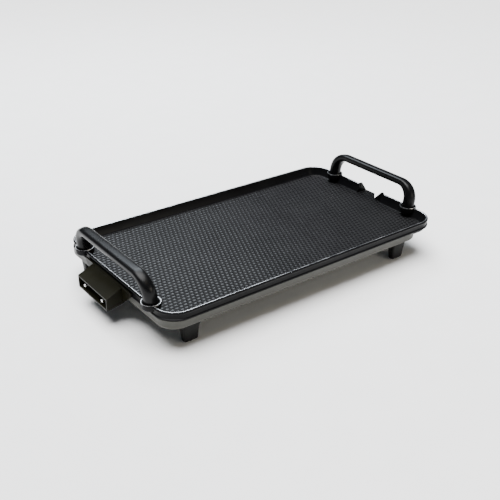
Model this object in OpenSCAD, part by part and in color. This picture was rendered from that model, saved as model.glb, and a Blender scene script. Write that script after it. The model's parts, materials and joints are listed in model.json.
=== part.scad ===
// Electric griddle: a cast plate with two handles and a plug-in socket, in a pressed base on four feet.
// X runs along the plate, +X to the spout end. Z is up, with the table at z = 0. Centred in X and Y.

/* [Plate] */
// Length of the plate over its rim
plate_length = 484; // [480:1:500]
// Width of the plate over its rim
plate_width = 274; // [268:1:290]
// Corner radius of the rim
plate_corner = 32; // [28:1:36]
// Height of the rim above the table
rim_height = 60; // [60:0.5:64]
// Height of the skirt below the rim
skirt_height = 12; // [11:0.5:13]
// Depth of the pan
pan_depth = 14; // [12:0.5:15]
// Thickness of the pan's floor
floor_thickness = 3.6; // [3:0.1:4.2]
// Width of the rounded rim
rim_bead = 4.4; // [3.6:0.1:5]

/* [Spout] */
// Low edge of the spout's gap in the rim
spout_low = -25; // [-30:1:-22]
// High edge of the spout's gap in the rim
spout_high = 26; // [24:1:30]
// Reach of the pouring lip beyond the rim
lip_reach = 13; // [8:1:15]
// Height of the spout's ears above the rim
ear_height = 2; // [1:0.5:4]

/* [Handles] */
// Post places along Y at the socket end
socket_end_posts = [-92, 86];
// Post places along Y at the spout end
spout_end_posts = [-82, 86];
// Distance of the posts from the plate's ends
post_inset = 5; // [4:0.5:6]
// Radius of a handle post
post_radius = 9.1; // [8.6:0.1:9.3]
// Radius of the cast boss around a post
boss_radius = 13.2; // [12.5:0.1:13.6]
// Height of the grip's centre above the rim
grip_height = 33.5; // [30:0.5:38]
// Outward lean of the handles
handle_lean = 8.5; // [6:0.5:10]
// Width of the grip
grip_width = 15.5; // [15:0.5:16]
// Thickness of the grip
grip_thickness = 10.5; // [10:0.5:12]
// Radius of the handle's bends
handle_bend = 24; // [20:1:26]

/* [Base] */
// Sheet thickness of the base tub
tub_sheet = 1.2; // [1:0.1:1.4]
// Height of the tub's walls
tub_height = 12; // [11:0.5:13]
// Distance that the spout end of the plate overhangs the tub
tub_overhang = 32; // [28:1:36]
// Corner radius of the tub
tub_corner = 26; // [24:1:30]
// Depth of the tub's sunk middle below its floor
belly_depth = 7.2; // [6.5:0.1:8]
// Foot places along X at the front
front_foot_x = [-196.5, 181];
// Foot places along X at the back
back_foot_x = [-216.5, 181];
// Distance of the feet from the middle line
foot_y = 114.8; // [114:0.1:116]

/* [Heating element] */
// Radius of the tubular element
element_radius = 3.3; // [3:0.1:3.3]
// Distance of the outer runs from the middle line
outer_run_y = 80; // [76:1:82]
// Distance of the inner runs from the middle line
inner_run_y = 30; // [26:1:34]

/* [Socket] */
// Middle of the socket along Y
socket_y = 9; // [0:1:12]
// Width of the socket's shroud
shroud_width = 80; // [76:1:84]
// Reach of the shroud beyond the rim
shroud_reach = 25.3; // [22:0.1:28]
// Height of the shroud's mouth
mouth_height = 18; // [17:0.5:20]
// Wall thickness of the shroud
shroud_wall = 2.2; // [1.8:0.1:2.6]
// Distance between the terminal pins
pin_spacing = 48; // [40:1:50]
// Radius of a terminal pin
pin_radius = 2.25; // [2:0.05:2.5]
// Length of a terminal pin
pin_length = 35; // [33:0.5:36]
// Downward slope of the terminal pins
pin_slope = 9.5; // [8:0.5:10]

/* [Hidden] */
$fn = 48;
gap = 0.2;
over = 0.5;

half_length = plate_length / 2;
half_width = plate_width / 2;
centre_shift = (shroud_reach - lip_reach) / 2;

skirt_z = rim_height - skirt_height;
floor_z = rim_height - pan_depth;
under_z = floor_z - floor_thickness;
wall_foot = 11.3;
floor_fillet = 3;
dish_inset = 4;
skirt_recess = 1.5;

stub_radius = post_radius + 0.4;
boss_top = rim_height + 1;
boss_floor = skirt_z + 5;
boss_cone_top = skirt_z + 5.2;
counterbore_top = skirt_z + 3.2;
post_x = half_length - post_inset;
posts = [
  for (y = socket_end_posts) [-post_x, y],
  for (y = spout_end_posts) [post_x, y]
];

tub_floor_z = skirt_z - tub_height;
tub_low_x = 1 - half_length;
tub_high_x = half_length - tub_overhang;
tub_length = tub_high_x - tub_low_x;
tub_middle = (tub_high_x + tub_low_x) / 2;
tub_width = plate_width - 2;
tub_flange = 2.6;
belly_z = tub_floor_z - belly_depth;
belly_low_x = tub_low_x + 13.8;
belly_length = 412.4;
belly_width = 200.4;
belly_corner = 20;
belly_middle = belly_low_x + belly_length / 2;
belly_inside_z = belly_z + tub_sheet;
feet = [
  for (i = [0, 1]) for (p = [[front_foot_x[i], -foot_y], [back_foot_x[i], foot_y]]) p
];
foot_low = 1;
pad_radius = 2.8;

spacer_height = 1.4;
reflector_sheet = 0.6;
reflector_z = belly_inside_z + spacer_height;
reflector_fixings = [for (x = [-150, 150]) for (y = [-55, 55]) [belly_middle + x, y]];

element_z = under_z - gap - element_radius;
element_start_x = 10 - half_length;
clamp_z = element_z - element_radius;
clamp_sheet = 1.2;
clamp_reach = 8.5;
clamps = [
  for (x = [-120, 20, 130]) for (y = [-outer_run_y, outer_run_y]) [x, y],
  for (x = [-60, 80]) for (y = [-inner_run_y, inner_run_y]) [x, y]
];

pin_neck = pin_radius - 0.35;
pin_shoulder = 9.2;
pins_y = [socket_y - pin_spacing / 2, socket_y + pin_spacing / 2];
mouth_x = -half_length - shroud_reach;
mouth_z = 25;
shroud_top_slope = 0.4545;
shroud_floor_slope = 0.2;
shroud_flange = 2.4;
wing_reach = 22;
shroud_screw_y = 32;
shroud_screw_z = skirt_z + 2;
notch_width = shroud_width - 8;
socket_plate_width = notch_width - 1;
socket_plate_tab = 8;
tab_screw_y = 31;
tab_screw_x = element_start_x + 2;
earth_x = element_start_x + 1.5;
earth_y = socket_y + 14.5;
earth_sheet = 0.8;

// ---- shared shapes ----

// Places a child in the centred frame
module placed() {
  translate([centre_shift, 0, 0])
    children();
}

// Rectangle with round corners
module rounded_rect(length, width, corner) {
  square([length - 2 * corner, width], center = true);
  square([length, width - 2 * corner], center = true);
  for (x = [-1, 1], y = [-1, 1])
    translate([x * (length / 2 - corner), y * (width / 2 - corner)])
      circle(corner);
}

// Slab with round corners, standing on z = 0
module rounded_slab(length, width, corner, height) {
  linear_extrude(height)
    rounded_rect(length, width, corner);
}

// Sweeps a profile round a rectangle with round corners; the profile's x is the distance in from the edge
module edge_sweep(length, width, corner) {
  for (turn = [0, 180]) {
    rotate([0, 0, turn])
      translate([0, -width / 2, 0])
        rotate([90, 0, 90])
          linear_extrude(length - 2 * corner, center = true)
            children();
    rotate([0, 0, turn + 90])
      translate([0, -length / 2, 0])
        rotate([90, 0, 90])
          linear_extrude(width - 2 * corner, center = true)
            children();
  }
  for (x = [-1, 1], y = [-1, 1])
    translate([x * (length / 2 - corner), y * (width / 2 - corner), 0])
      rotate([0, 0, y > 0 ? (x > 0 ? 0 : 90) : (x > 0 ? 270 : 180)])
        rotate_extrude(angle = 90)
          translate([corner, 0])
            mirror([1, 0])
              children();
}

// Pressed sheet tray with its underside on z = 0
module pressed_tray(length, width, corner, height, sheet, bend) {
  edge_sweep(length, width, corner)
    polygon(concat(
      [[0, height]],
      [for (a = [180:15:270]) [bend + bend * cos(a), bend + bend * sin(a)]],
      [[corner - 1, 0], [corner - 1, sheet]],
      [for (a = [270:-15:180]) [bend + (bend - sheet) * cos(a), bend + (bend - sheet) * sin(a)]],
      [[sheet, height]]
    ));
  rounded_slab(length - 2 * bend - 2, width - 2 * bend - 2, corner - bend - 1, sheet);
}

// Round head and shank along +Z, with the head under z = 0
module screw(head_radius, head_height, shank_radius, shank_length) {
  translate([0, 0, -head_height])
    cylinder(h = head_height, r = head_radius);
  cylinder(h = shank_length, r = shank_radius);
}

// Children laid along the pins' axis: z runs outwards from the element's end
module along_pin(y) {
  translate([element_start_x, y, element_z])
    rotate([0, -90 - pin_slope, 0])
      children();
}

// ---- plate ----

// Section of the plate's wall, from its outer face to the pan's floor
function wall_section() = concat(
  [[0, skirt_z], [0, skirt_z + 1.6], [skirt_recess, skirt_z + 2.6]],
  [[skirt_recess, rim_height - 4], [0, rim_height - 2.8]],
  [for (a = [180:-15:0]) [rim_bead / 2 * (1 + cos(a)), rim_height + rim_bead / 2 * (sin(a) - 1)]],
  [for (a = [200:14:270]) [wall_foot + floor_fillet * cos(a), floor_z + floor_fillet * (1 + sin(a))]],
  [[wall_foot, floor_z], [wall_foot + 2, floor_z], [wall_foot + 2, under_z]],
  [[dish_inset + 1.6, under_z], [dish_inset, under_z + 1.6], [dish_inset, skirt_z]]
);

// Gap that the spout leaves in the wall
module spout_gap() {
  translate([half_length - wall_foot - 2, spout_low, floor_z])
    cube([wall_foot + 4, spout_high - spout_low, pan_depth + 2]);
}

// Pouring lip that carries the pan's floor through the gap
module spout_lip() {
  root_x = half_length - wall_foot - 2;
  end_x = half_length + lip_reach;
  translate([0, 0, floor_z - 3])
    linear_extrude(3)
      polygon([
        [root_x, spout_high], [end_x - 2, spout_high], [end_x, spout_high - 2],
        [end_x, spout_high - 20], [half_length - 2, -8], [root_x, -8]
      ]);
}

// Ears that steer the grease: a fin beyond the wall, and a web across part of the gap
module spout_ears() {
  peak = rim_height + ear_height;
  translate([0, spout_high + 3, 0])
    rotate([90, 0, 0])
      linear_extrude(3)
        polygon([
          [half_length - 3, floor_z - 3], [half_length + lip_reach, floor_z - 3],
          [half_length + lip_reach, floor_z], [half_length + 2.4, peak - 1], [half_length - 3, peak - 1]
        ]);
  translate([half_length - 4, 0, 0])
    rotate([90, 0, 90])
      linear_extrude(3)
        polygon([
          [spout_low - 2, floor_z - 3], [-8, floor_z - 3], [-8, floor_z],
          [spout_low + 2, peak], [spout_low - 2, peak]
        ]);
}

// Cast boss that holds a handle post; it tapers back to the wall under its ring
module post_boss() {
  translate([0, 0, skirt_z])
    cylinder(h = boss_cone_top - skirt_z, r1 = 5.5, r2 = boss_radius);
  translate([0, 0, boss_cone_top])
    cylinder(h = boss_top - boss_cone_top - 0.8, r = boss_radius);
  translate([0, 0, boss_top - 0.8])
    cylinder(h = 0.8, r1 = boss_radius, r2 = boss_radius - 0.8);
}

// Parts of the bosses that stand on the pan's floor
module boss_roots() {
  root_inset = dish_inset + 2;
  root_height = boss_cone_top - floor_z + 1;
  intersection() {
    for (p = posts)
      translate([p.x, p.y, floor_z - 1])
        cylinder(h = root_height, r1 = boss_radius - 5.2, r2 = boss_radius);
    translate([0, 0, floor_z - 1])
      rounded_slab(
        plate_length - 2 * root_inset, plate_width - 2 * root_inset,
        plate_corner - root_inset, root_height
      );
  }
}

// Hole that a handle post and its screw need
module post_socket() {
  translate([0, 0, boss_floor])
    cylinder(h = boss_top - boss_floor + over, r = stub_radius + 0.4);
  translate([0, 0, skirt_z])
    cylinder(h = boss_floor - skirt_z + over, r = 2.3);
  translate([0, 0, under_z - over])
    cylinder(h = counterbore_top - under_z + over, r = 4.6);
}

module griddle_plate() {
  color([0.07, 0.07, 0.075])
    placed()
      difference() {
        union() {
          difference() {
            edge_sweep(plate_length, plate_width, plate_corner)
              polygon(wall_section());
            spout_gap();
          }
          translate([0, 0, under_z])
            rounded_slab(
              plate_length - 2 * wall_foot, plate_width - 2 * wall_foot,
              plate_corner - wall_foot, floor_thickness
            );
          spout_lip();
          spout_ears();
          for (p = posts)
            translate([p.x, p.y, 0])
              post_boss();
          boss_roots();
          for (c = clamps, side = [-1, 1])
            translate([c.x, c.y + side * clamp_reach, clamp_z])
              cylinder(h = under_z - clamp_z + over, r = 3.2);
        }
        for (p = posts)
          translate([p.x, p.y, 0])
            post_socket();
        for (c = clamps, side = [-1, 1])
          translate([c.x, c.y + side * clamp_reach, clamp_z - over])
            cylinder(h = 6 + over, r = 1.5);
        for (side = [-1, 1])
          translate([-half_length - over, socket_y + side * shroud_screw_y, shroud_screw_z])
            rotate([0, 90, 0])
              cylinder(h = 4 + over, r = 1.2);
        for (side = [-1, 1])
          translate([tab_screw_x, socket_y + side * tab_screw_y, under_z - over])
            cylinder(h = 2.2 + over, r = 1.5);
        translate([earth_x, earth_y, under_z - over])
          cylinder(h = 2.2 + over, r = 1.5);
      }
}

// ---- heating element ----

// Draws a tube that runs and turns: [length] goes straight, [radius, angle] turns left by the angle
module tube_path(steps, radius, i = 0) {
  if (i < len(steps)) {
    step = steps[i];
    if (len(step) == 1) {
      rotate([0, 90, 0])
        cylinder(h = step[0], r = radius);
      translate([step[0], 0, 0])
        tube_path(steps, radius, i + 1);
    } else {
      side = sign(step[1]);
      translate([0, side * step[0], 0]) {
        rotate([0, 0, side > 0 ? -90 : 90 + step[1]])
          rotate_extrude(angle = abs(step[1]))
            translate([step[0], 0])
              circle(radius);
        rotate([0, 0, step[1]])
          translate([0, -side * step[0], 0])
            tube_path(steps, radius, i + 1);
      }
    }
  }
}

module heating_element() {
  far_x = 150;
  u_turn = (outer_run_y - inner_run_y) / 2;
  corner = 14;
  lead = 26;
  cross_x = element_start_x + lead + corner;
  start_y = pins_y[1];
  outer_run = far_x - cross_x - corner;
  inner_run = far_x + 140;
  color([0.42, 0.36, 0.30])
    placed()
      translate([element_start_x, start_y, element_z])
        tube_path([
          [lead], [corner, 90], [outer_run_y - start_y - 2 * corner], [corner, -90],
          [outer_run], [u_turn, -180], [inner_run], [inner_run_y, 180], [inner_run], [u_turn, -180],
          [outer_run], [corner, -90], [outer_run_y + pins_y[0] - 2 * corner], [corner, 90], [lead]
        ], element_radius);
}

module element_clamps() {
  color([0.72, 0.72, 0.70])
    placed()
      for (c = clamps)
        translate([c.x, c.y, clamp_z - clamp_sheet])
          difference() {
            rounded_slab(9, 2 * clamp_reach + 8, 2, clamp_sheet);
            for (side = [-1, 1])
              translate([0, side * clamp_reach, -over])
                cylinder(h = clamp_sheet + 2 * over, r = 1.6);
          }
}

module clamp_screws() {
  color([0.62, 0.60, 0.55])
    placed()
      for (c = clamps, side = [-1, 1])
        translate([c.x, c.y + side * clamp_reach, clamp_z - clamp_sheet])
          screw(2.8, 1.6, 1.5, 6);
}

// ---- socket ----

module terminal_pins() {
  color([0.82, 0.80, 0.76])
    placed()
      for (y = pins_y)
        along_pin(y) {
          translate([0, 0, 0.6])
            cylinder(h = pin_shoulder, r = pin_neck);
          translate([0, 0, pin_shoulder])
            cylinder(h = pin_length - 1 - pin_shoulder, r = pin_radius);
          translate([0, 0, pin_length - 1])
            cylinder(h = 1, r1 = pin_radius, r2 = pin_radius - 0.8);
        }
}

module ceramic_bushes() {
  color([0.88, 0.86, 0.80])
    placed()
      for (y = pins_y)
        along_pin(y)
          difference() {
            translate([0, 0, 1.2])
              cylinder(h = pin_shoulder - 1.2, r = 3.5);
            translate([0, 0, 0.6])
              cylinder(h = pin_shoulder, r = pin_neck);
          }
}

module socket_plate() {
  foot_z = 33.4;
  color([0.70, 0.70, 0.68])
    placed()
      difference() {
        union() {
          translate([element_start_x - 5, socket_y - socket_plate_width / 2, foot_z])
            cube([1, socket_plate_width, under_z - foot_z]);
          for (y = [-socket_plate_width / 2, socket_plate_width / 2 - socket_plate_tab])
            translate([element_start_x - 5, socket_y + y, under_z - 1])
              cube([12, socket_plate_tab, 1]);
        }
        for (y = pins_y)
          along_pin(y)
            cylinder(h = 12, r = 3.6);
        translate([element_start_x - 6, socket_y - 6.2, foot_z + 1.4])
          cube([3, 12.4, 8]);
        translate([element_start_x - 6, earth_y - 3.7, under_z - earth_sheet - 0.2])
          cube([3, 7.4, 2]);
        for (side = [-1, 1])
          translate([tab_screw_x, socket_y + side * tab_screw_y, under_z - 2])
            cylinder(h = 3, r = 1.6);
      }
}

module socket_plate_screws() {
  color([0.62, 0.60, 0.55])
    placed()
      for (side = [-1, 1])
        translate([tab_screw_x, socket_y + side * tab_screw_y, under_z - 1])
          screw(2.6, 1.4, 1.5, 3);
}

// Block that carries the plate's heat to the plug's feeler
module sensor_block() {
  color([0.74, 0.74, 0.73])
    placed()
      difference() {
        translate([element_start_x - 8, socket_y - 6, 35])
          cube([14, 12, under_z - 35]);
        along_pin(socket_y)
          translate([0, 0, -2])
            cylinder(h = 12, r = 2.4);
      }
}

// Spring strip that earths the plate through the plug
module earth_contact() {
  strip_width = 7;
  tip_x = mouth_x + 11.3;
  strip_z = under_z - earth_sheet;
  color([0.76, 0.66, 0.40])
    placed()
      difference() {
        union() {
          translate([tip_x, earth_y - strip_width / 2, strip_z])
            cube([earth_x + 4 - tip_x, strip_width, earth_sheet]);
          translate([tip_x, earth_y - strip_width / 2, strip_z])
            cube([earth_sheet, strip_width, 2.4]);
        }
        translate([earth_x, earth_y, strip_z - over])
          cylinder(h = earth_sheet + 2 * over, r = 1.6);
      }
}

module earth_screw() {
  color([0.62, 0.60, 0.55])
    placed()
      translate([earth_x, earth_y, under_z - earth_sheet])
        screw(2.6, 1.4, 1.5, 2.8);
}

// Side outline of the shroud between two X places, thinned by a margin at top and bottom
function shroud_outline(from_x, to_x, margin) = [
  [from_x, mouth_z + (from_x - mouth_x) * shroud_floor_slope + margin],
  [to_x, mouth_z + (to_x - mouth_x) * shroud_floor_slope + margin],
  [to_x, mouth_z + mouth_height + (to_x - mouth_x) * shroud_top_slope - margin],
  [from_x, mouth_z + mouth_height + (from_x - mouth_x) * shroud_top_slope - margin]
];

// Extrudes a side outline across the shroud
module across_socket(width) {
  translate([0, socket_y + width / 2, 0])
    rotate([90, 0, 0])
      linear_extrude(width)
        children();
}

// Flange beside the shroud that covers the edge of the base's notch
module shroud_wing() {
  edge_y = shroud_width / 2;
  rotate([90, 0, 90])
    linear_extrude(shroud_flange)
      polygon([
        [edge_y - 1, 30.5], [edge_y + wing_reach / 2 - 1.5, 38.4], [edge_y + wing_reach - 1, 48.5],
        [edge_y + wing_reach, 54], [edge_y - 1, 54]
      ]);
}

module socket_shroud() {
  back_x = -half_length;
  color([0.09, 0.09, 0.08])
    placed()
      difference() {
        union() {
          difference() {
            across_socket(shroud_width)
              polygon(shroud_outline(mouth_x, back_x, 0));
            across_socket(shroud_width - 2 * shroud_wall)
              polygon(shroud_outline(mouth_x - over, back_x + over, shroud_wall));
          }
          intersection() {
            across_socket(shroud_width)
              polygon(shroud_outline(mouth_x, back_x, 0));
            translate([back_x - shroud_flange, socket_y - shroud_width / 2, 44])
              cube([shroud_flange, shroud_width, 12]);
          }
          for (side = [0, 1])
            translate([back_x - shroud_flange, socket_y, 0])
              mirror([0, side, 0])
                shroud_wing();
          intersection() {
            across_socket(notch_width - 4)
              polygon(shroud_outline(back_x - 1, back_x + 4.8, 0));
            translate([back_x - 1, socket_y - notch_width / 2, mouth_z])
              cube([6, notch_width, 8.2]);
          }
        }
        for (side = [-1, 1])
          translate([back_x - shroud_flange - over, socket_y + side * shroud_screw_y, shroud_screw_z])
            rotate([0, 90, 0]) {
              cylinder(h = shroud_flange + 2 * over, r = 1.3);
              cylinder(h = shroud_flange + over - 0.8, r = 2.3);
            }
      }
}

module shroud_screws() {
  color([0.62, 0.60, 0.55])
    placed()
      for (side = [-1, 1])
        translate([-half_length - 0.8, socket_y + side * shroud_screw_y, shroud_screw_z])
          rotate([0, 90, 0])
            screw(2.2, 1.4, 1.2, 4.6);
}

// ---- handles ----

// Section of the grip: a flattened bar with round edges
module grip_section() {
  edge = grip_thickness / 2;
  square([grip_width - 2 * edge, grip_thickness], center = true);
  for (side = [-1, 1])
    translate([side * (grip_width / 2 - edge), 0])
      circle(edge);
}

// Bent part of a handle, leaning outwards; posts are [low y, high y]
module leaning_grip(ends) {
  bend_z = grip_height - handle_bend;
  for (y = ends)
    translate([0, y, -0.8])
      cylinder(h = bend_z + 0.8, r = post_radius);
  for (low = [true, false])
    translate([0, low ? ends[0] + handle_bend : ends[1] - handle_bend, bend_z])
      rotate([0, -90, 0])
        rotate([0, 0, low ? 270 : 0])
          rotate_extrude(angle = 90)
            translate([handle_bend, 0])
              rotate([0, 0, 90])
                grip_section();
  translate([0, ends[0] + handle_bend, grip_height])
    rotate([-90, 0, 0])
      linear_extrude(ends[1] - ends[0] - 2 * handle_bend)
        grip_section();
}

// Whole handle: upright stubs in the bosses, the leaning grip, and bores for the inserts
module handle(ends, side) {
  color([0.06, 0.06, 0.065])
    placed()
      difference() {
        union() {
          for (y = ends)
            translate([side * post_x, y, boss_floor])
              cylinder(h = rim_height - boss_floor + 1.4, r = stub_radius);
          translate([side * post_x, 0, rim_height])
            rotate([0, side * handle_lean, 0])
              leaning_grip(ends);
        }
        for (y = ends)
          translate([side * post_x, y, boss_floor - over])
            cylinder(h = 11 + over, r = 3.4);
      }
}

module handle_socket_end() {
  handle(socket_end_posts, -1);
}

module handle_spout_end() {
  handle(spout_end_posts, 1);
}

module handle_inserts() {
  color([0.78, 0.62, 0.30])
    placed()
      for (p = posts)
        translate([p.x, p.y, boss_floor])
          difference() {
            cylinder(h = 11, r = 3.4);
            translate([0, 0, -over])
              cylinder(h = 11 + 2 * over, r = 2.05);
          }
}

module handle_screws() {
  color([0.62, 0.60, 0.55])
    placed()
      for (p = posts)
        translate([p.x, p.y, counterbore_top - 0.8])
          screw(3.8, 2.1, 2, 10);
}

module handle_washers() {
  color([0.70, 0.70, 0.70])
    placed()
      for (p = posts)
        translate([p.x, p.y, counterbore_top - 0.8])
          difference() {
            cylinder(h = 0.8, r = 4.4);
            translate([0, 0, -over])
              cylinder(h = 0.8 + 2 * over, r = 2.2);
          }
}

// ---- base ----

// Solid block with a sunk middle: the tub's outer form, or its inner form with a margin taken off
module tub_form(margin, top_z) {
  translate([tub_middle, 0, tub_floor_z + margin])
    rounded_slab(
      tub_length - 2 * margin, tub_width - 2 * margin,
      tub_corner - margin, top_z - tub_floor_z - margin
    );
  translate([belly_middle, 0, belly_z + margin])
    rounded_slab(
      belly_length - 2 * margin, belly_width - 2 * margin,
      belly_corner - margin, belly_depth + tub_sheet
    );
}

module base_tub() {
  color([0.42, 0.42, 0.40])
    placed()
      difference() {
        tub_form(0, skirt_z);
        tub_form(tub_sheet, skirt_z - tub_sheet);
        translate([tub_middle, 0, skirt_z - 2 * tub_sheet])
          rounded_slab(
            tub_length - 2 * tub_flange, tub_width - 2 * tub_flange,
            tub_corner - tub_flange, 3 * tub_sheet
          );
        translate([tub_high_x - 40, tub_flange - tub_width / 2, under_z - 0.6])
          cube([60, tub_width - 2 * tub_flange, 10]);
        translate([tub_low_x - 2, socket_y - notch_width / 2, 33])
          cube([18, notch_width, 20]);
        for (f = feet)
          translate([f.x, f.y, tub_floor_z - over])
            cylinder(h = tub_sheet + 2 * over, r = 2.2);
        for (p = reflector_fixings)
          translate([p.x, p.y, belly_z - over])
            cylinder(h = tub_sheet + 2 * over, r = 1.7);
      }
}

module heat_reflector() {
  color([0.80, 0.80, 0.80])
    placed()
      difference() {
        translate([belly_middle, 0, reflector_z])
          pressed_tray(belly_length - 20, belly_width - 4.4, 16, 2, reflector_sheet, 2);
        for (p = reflector_fixings)
          translate([p.x, p.y, reflector_z - over])
            cylinder(h = 2, r = 1.7);
      }
}

module reflector_spacers() {
  color([0.75, 0.72, 0.66])
    placed()
      for (p = reflector_fixings)
        translate([p.x, p.y, belly_inside_z])
          difference() {
            cylinder(h = spacer_height, r = 4);
            translate([0, 0, -over])
              cylinder(h = spacer_height + 2 * over, r = 1.7);
          }
}

module reflector_screws() {
  color([0.62, 0.60, 0.55])
    placed()
      for (p = reflector_fixings)
        translate([p.x, p.y, belly_z])
          screw(3, 1.6, 1.5, 5.6);
}

module reflector_nuts() {
  color([0.62, 0.60, 0.55])
    placed()
      for (p = reflector_fixings)
        translate([p.x, p.y, reflector_z + reflector_sheet])
          difference() {
            cylinder(h = 1.8, r = 3.1, $fn = 6);
            translate([0, 0, -over])
              cylinder(h = 3, r = 1.5);
          }
}

// Outline of a foot from one side, tapered and narrowed again at its bottom
module foot_outline(top, bottom) {
  polygon([
    [-top / 2, tub_floor_z], [top / 2, tub_floor_z], [bottom / 2, foot_low + 3],
    [bottom / 2 - 1.2, foot_low], [1.2 - bottom / 2, foot_low], [-bottom / 2, foot_low + 3]
  ]);
}

// Tapered foot with a bore for its screw and a recess for its pad
module foot(place) {
  color([0.06, 0.06, 0.06])
    placed()
      translate([place.x, place.y, 0])
        difference() {
          intersection() {
            rotate([90, 0, 0])
              linear_extrude(30, center = true)
                foot_outline(26, 21);
            rotate([90, 0, 90])
              linear_extrude(30, center = true)
                foot_outline(16, 9.4);
          }
          translate([0, 0, tub_floor_z - 15])
            cylinder(h = 16, r = 1.9);
          translate([0, 0, foot_low - over])
            cylinder(h = 1.2 + over, r = pad_radius);
        }
}

module foot_socket_front() {
  foot(feet[0]);
}

module foot_socket_back() {
  foot(feet[1]);
}

module foot_spout_front() {
  foot(feet[2]);
}

module foot_spout_back() {
  foot(feet[3]);
}

module foot_screws() {
  color([0.62, 0.60, 0.55])
    placed()
      for (f = feet)
        translate([f.x, f.y, tub_floor_z + tub_sheet])
          rotate([180, 0, 0])
            screw(3.8, 2.2, 1.9, 14);
}

module foot_pads() {
  color([0.16, 0.16, 0.16])
    placed()
      for (f = feet)
        translate([f.x, f.y, 0])
          cylinder(h = 2.2, r = pad_radius);
}

griddle_plate();
heating_element();
element_clamps();
clamp_screws();
terminal_pins();
ceramic_bushes();
socket_plate();
socket_plate_screws();
sensor_block();
earth_contact();
earth_screw();
socket_shroud();
shroud_screws();
handle_socket_end();
handle_spout_end();
handle_inserts();
handle_screws();
handle_washers();
base_tub();
heat_reflector();
reflector_spacers();
reflector_screws();
reflector_nuts();
foot_socket_front();
foot_socket_back();
foot_spout_front();
foot_spout_back();
foot_screws();
foot_pads();
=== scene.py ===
"""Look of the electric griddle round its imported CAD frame: metres, row frame, +X to the spout end, +Z up."""

import json
import math

import bmesh
import bpy
import numpy as np
from mathutils import Matrix, Vector


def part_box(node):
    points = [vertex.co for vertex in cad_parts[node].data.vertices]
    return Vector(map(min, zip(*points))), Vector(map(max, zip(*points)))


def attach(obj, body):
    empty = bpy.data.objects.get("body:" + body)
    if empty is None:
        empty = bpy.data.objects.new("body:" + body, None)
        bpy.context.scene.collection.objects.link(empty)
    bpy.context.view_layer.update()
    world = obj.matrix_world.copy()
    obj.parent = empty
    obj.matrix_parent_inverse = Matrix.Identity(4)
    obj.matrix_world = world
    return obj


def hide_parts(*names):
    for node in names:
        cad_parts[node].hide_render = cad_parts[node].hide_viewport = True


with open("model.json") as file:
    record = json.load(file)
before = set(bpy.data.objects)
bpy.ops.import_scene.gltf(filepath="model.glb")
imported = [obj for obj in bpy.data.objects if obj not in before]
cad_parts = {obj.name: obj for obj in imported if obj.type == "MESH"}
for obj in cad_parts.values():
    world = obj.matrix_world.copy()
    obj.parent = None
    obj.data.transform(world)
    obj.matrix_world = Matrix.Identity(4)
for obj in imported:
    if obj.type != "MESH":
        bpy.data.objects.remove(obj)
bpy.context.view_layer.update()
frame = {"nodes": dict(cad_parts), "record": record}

MM = 0.001

# ---- places and sizes in millimetres, some read from the frame and some given ----


def box_mm(node):
    """Lowest and highest corner of a CAD node, in millimetres."""
    low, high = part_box(node)
    return np.array(low) / MM, np.array(high) / MM


LIP_REACH = 13.0
PLATE_LOW, PLATE_HIGH = box_mm("griddle_plate")
TUB_LOW, TUB_HIGH = box_mm("base_tub")
SHROUD_LOW, SHROUD_HIGH = box_mm("socket_shroud")

HALF_LENGTH = 242.0
HALF_WIDTH = (PLATE_HIGH[1] - PLATE_LOW[1]) / 2
SHIFT = PLATE_HIGH[0] - HALF_LENGTH - LIP_REACH
RIM_Z = TUB_HIGH[2] + 12.0
SKIRT_Z = TUB_HIGH[2]
FLOOR_Z = RIM_Z - 14.0
UNDER_Z = FLOOR_Z - 3.6
CORNER = 32.0
WALL_FOOT = 11.3
DISH_INSET = 4.0
POST_INSET = 5.0
POST_RADIUS = 9.1
STUB_RADIUS = POST_RADIUS + 0.4
BOSS_RADIUS = 13.2
BOSS_FLOOR = SKIRT_Z + 5.0
BOSS_CONE_TOP = SKIRT_Z + 5.2
SPOUT_Y = (-25.0, 26.0)
SOCKET_Y = (SHROUD_LOW[1] + SHROUD_HIGH[1]) / 2
SHROUD_WIDTH = 80.0

# ---- mesh tools ----


def add_mesh(name, verts, faces, smooth_angle=35.0):
    """Makes an object from millimetre points in the row frame, smooth below an angle between faces."""
    mesh = bpy.data.meshes.new(name)
    mesh.from_pydata([tuple(v) for v in np.asarray(verts, float) * MM], [], [tuple(f) for f in faces])
    mesh.update()
    made = bmesh.new()
    made.from_mesh(mesh)
    bmesh.ops.recalc_face_normals(made, faces=made.faces)
    made.to_mesh(mesh)
    made.free()
    mesh.polygons.foreach_set("use_smooth", [True] * len(mesh.polygons))
    mesh.set_sharp_from_angle(angle=math.radians(smooth_angle))
    obj = bpy.data.objects.new(name, mesh)
    bpy.context.scene.collection.objects.link(obj)
    return obj


def merged(parts):
    """Joins (verts, faces) pairs into one pair."""
    verts, faces, start = [], [], 0
    for part_verts, part_faces in parts:
        verts.append(np.asarray(part_verts, float))
        faces += [tuple(i + start for i in f) for f in part_faces]
        start += len(part_verts)
    return np.concatenate(verts), faces


def bevel(obj, width, segments=3, angle=32.0):
    """Rounds an object's edges sharper than an angle."""
    cut = obj.modifiers.new("edge_rounding", "BEVEL")
    cut.width = width * MM
    cut.segments = segments
    cut.limit_method = "ANGLE"
    cut.angle_limit = math.radians(angle)
    cut.harden_normals = True
    return obj


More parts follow.
